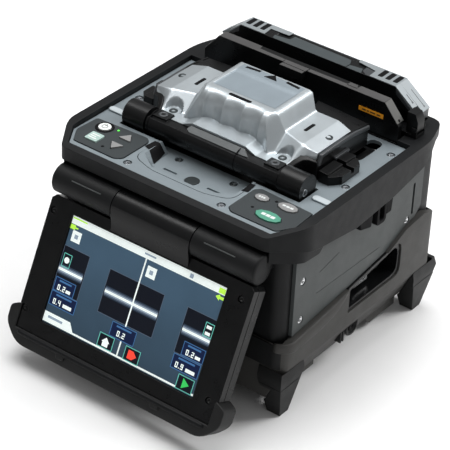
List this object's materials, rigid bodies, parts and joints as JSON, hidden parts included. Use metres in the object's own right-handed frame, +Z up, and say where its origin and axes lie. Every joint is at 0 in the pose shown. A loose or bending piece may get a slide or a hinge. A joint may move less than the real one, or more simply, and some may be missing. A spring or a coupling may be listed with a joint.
{
  "type": "fiber fusion splicer",
  "caption": "Portable bench unit that fuses optical fiber ends under a hinged wind cover, with a tilting front monitor, keypads, a sleeve heater at the back and corner boots.",
  "frame": {"origin": "centre of the footprint box on the ground plane under the boots", "axes": "+X to the operator's right, +Y to the back, +Z up; the monitor hangs at -Y"},
  "size_m": [0.169, 0.2086, 0.15],
  "materials": {
    "silver_deck": "satin silver-grey paint",
    "silver_cover": "satin bright silver paint on a die casting",
    "case_black": "fine-textured black moulding",
    "case_grey": "textured warm dark grey moulding",
    "rim_rubber": "matt dark grey elastomer",
    "panel_grey": "textured mid grey panel",
    "satin_black": "satin black moulding",
    "boot_rubber": "matt black rubber",
    "keypad_slate": "dark slate membrane",
    "steel": "brushed steel",
    "magnet_dark": "dark plated magnet face",
    "glass": "display glass",
    "board_green": "solder-mask green board",
    "ceramic": "ground ceramic",
    "key_white": "white key cap",
    "key_teal": "pale teal key cap",
    "key_grey": "grey key cap",
    "key_green": "green key cap"
  },
  "bodies": {
    "main_unit": {"lower_case": "case_grey", "upper_case": "case_black", "monitor_hinge_pin": "steel", "top_rim": "rim_rubber", "top_panel": "silver_deck", "keypad_plate_left": "keypad_slate", "keypad_plate_right": "keypad_slate", "front_tray": "silver_deck", "tray_magnet": "magnet_dark", "side_panel_left": "panel_grey", "side_panel_right": "panel_grey", "front_boot_left": "boot_rubber", "rear_boot_left": "boot_rubber", "front_boot_right": "boot_rubber", "rear_boot_right": "boot_rubber", "port_panel": "satin_black", "usb_port": "steel", "power_jack": "satin_black", "chamber_deck": "satin_black", "fiber_stage_left": "ceramic", "fiber_stage_right": "ceramic", "electrode_front": "steel", "electrode_rear": "steel", "microscope_front": "satin_black", "microscope_rear": "satin_black", "fiber_rest_left": "satin_black", "fiber_rest_right": "satin_black", "bearing_cap_left": "satin_black", "bearing_cap_right": "satin_black", "heater_housing": "satin_black", "heater_plate": "steel", "main_board": "board_green", "high_voltage_module": "case_black", "alignment_motor_left": "steel", "alignment_motor_right": "steel"},
    "monitor": {"monitor_bezel": "satin_black", "monitor_back": "satin_black", "monitor_bumper": "boot_rubber", "display_glass": "glass", "display_module": "steel"},
    "wind_cover": {"cover_tube": "satin_black", "cover_shell": "silver_cover", "cover_frame": "satin_black"},
    "sheath_lid_left": {"sheath_clamp_left": "satin_black"},
    "sheath_lid_right": {"sheath_clamp_right": "satin_black"},
    "front_jaw": {"heater_jaw_front": "satin_black"},
    "rear_jaw": {"heater_jaw_rear": "satin_black"},
    "end_clamp_left": {"heater_clamp_left": "satin_black"},
    "end_clamp_right": {"heater_clamp_right": "satin_black"},
    "battery": {"battery_pack": "case_black"},
    "latch": {"battery_latch": "panel_grey"},
    "power_key_cap": {"power_key": "key_white"},
    "menu_key_cap": {"menu_key": "key_teal"},
    "up_key_cap": {"up_key": "key_grey"},
    "down_key_cap": {"down_key": "key_grey"},
    "small_oval_key_cap": {"small_oval_key": "key_grey"},
    "reset_key_cap": {"reset_key": "key_grey"},
    "set_key_cap": {"set_key": "key_green"}
  },
  "joints": [
    {"name": "monitor_tilt", "type": "hinge", "parent": "main_unit", "child": "monitor", "pos_m": [0, -0.05928, 0.102], "axis": [-1, 0, 0], "range_deg": [-21, 125]},
    {"name": "cover_hinge", "type": "hinge", "parent": "main_unit", "child": "wind_cover", "pos_m": [0, -0.00928, 0.1255], "axis": [1, 0, 0], "range_deg": [0, 100]},
    {"name": "sheath_lid_left_hinge", "type": "hinge", "parent": "main_unit", "child": "sheath_lid_left", "pos_m": [0, 0.03122, 0.1265], "axis": [-1, 0, 0], "range_deg": [0, 90]},
    {"name": "sheath_lid_right_hinge", "type": "hinge", "parent": "main_unit", "child": "sheath_lid_right", "pos_m": [0, 0.03122, 0.1265], "axis": [-1, 0, 0], "range_deg": [0, 90]},
    {"name": "front_jaw_hinge", "type": "hinge", "parent": "main_unit", "child": "front_jaw", "pos_m": [0, 0.06952, 0.1223], "axis": [-1, 0, 0], "range_deg": [0, 11]},
    {"name": "rear_jaw_hinge", "type": "hinge", "parent": "main_unit", "child": "rear_jaw", "pos_m": [0, 0.09002, 0.1223], "axis": [1, 0, 0], "range_deg": [0, 11]},
    {"name": "end_clamp_left_hinge", "type": "hinge", "parent": "main_unit", "child": "end_clamp_left", "pos_m": [-0.07, 0.07872, 0.1292], "axis": [0, -1, 0], "range_deg": [0, 70]},
    {"name": "end_clamp_right_hinge", "type": "hinge", "parent": "main_unit", "child": "end_clamp_right", "pos_m": [0.0754, 0.07872, 0.1292], "axis": [0, 1, 0], "range_deg": [0, 70]},
    {"name": "power_key_press", "type": "slide", "parent": "main_unit", "child": "power_key_cap", "axis": [0, 0, -1], "range_m": [0, 0.0008], "stiffness_N_per_m": 400},
    {"name": "menu_key_press", "type": "slide", "parent": "main_unit", "child": "menu_key_cap", "axis": [0, 0, -1], "range_m": [0, 0.0008], "stiffness_N_per_m": 400},
    {"name": "up_key_press", "type": "slide", "parent": "main_unit", "child": "up_key_cap", "axis": [0, 0, -1], "range_m": [0, 0.0008], "stiffness_N_per_m": 400},
    {"name": "down_key_press", "type": "slide", "parent": "main_unit", "child": "down_key_cap", "axis": [0, 0, -1], "range_m": [0, 0.0008], "stiffness_N_per_m": 400},
    {"name": "small_oval_key_press", "type": "slide", "parent": "main_unit", "child": "small_oval_key_cap", "axis": [0, 0, -1], "range_m": [0, 0.0008], "stiffness_N_per_m": 400},
    {"name": "reset_key_press", "type": "slide", "parent": "main_unit", "child": "reset_key_cap", "axis": [0, 0, -1], "range_m": [0, 0.0008], "stiffness_N_per_m": 400},
    {"name": "set_key_press", "type": "slide", "parent": "main_unit", "child": "set_key_cap", "axis": [0, 0, -1], "range_m": [0, 0.0008], "stiffness_N_per_m": 400},
    {"name": "battery_slide", "type": "slide", "parent": "main_unit", "child": "battery", "axis": [0, 1, 0], "range_m": [0, 0.065]},
    {"name": "latch_slide", "type": "slide", "parent": "battery", "child": "latch", "axis": [1, 0, 0], "range_m": [0, 0.0035], "stiffness_N_per_m": 200}
  ],
  "couplings": [
    {"joint": "sheath_lid_left_hinge", "follows": "cover_hinge", "ratio": 0.9},
    {"joint": "sheath_lid_right_hinge", "follows": "cover_hinge", "ratio": 0.9},
    {"joint": "rear_jaw_hinge", "follows": "front_jaw_hinge", "ratio": 1}
  ]
}
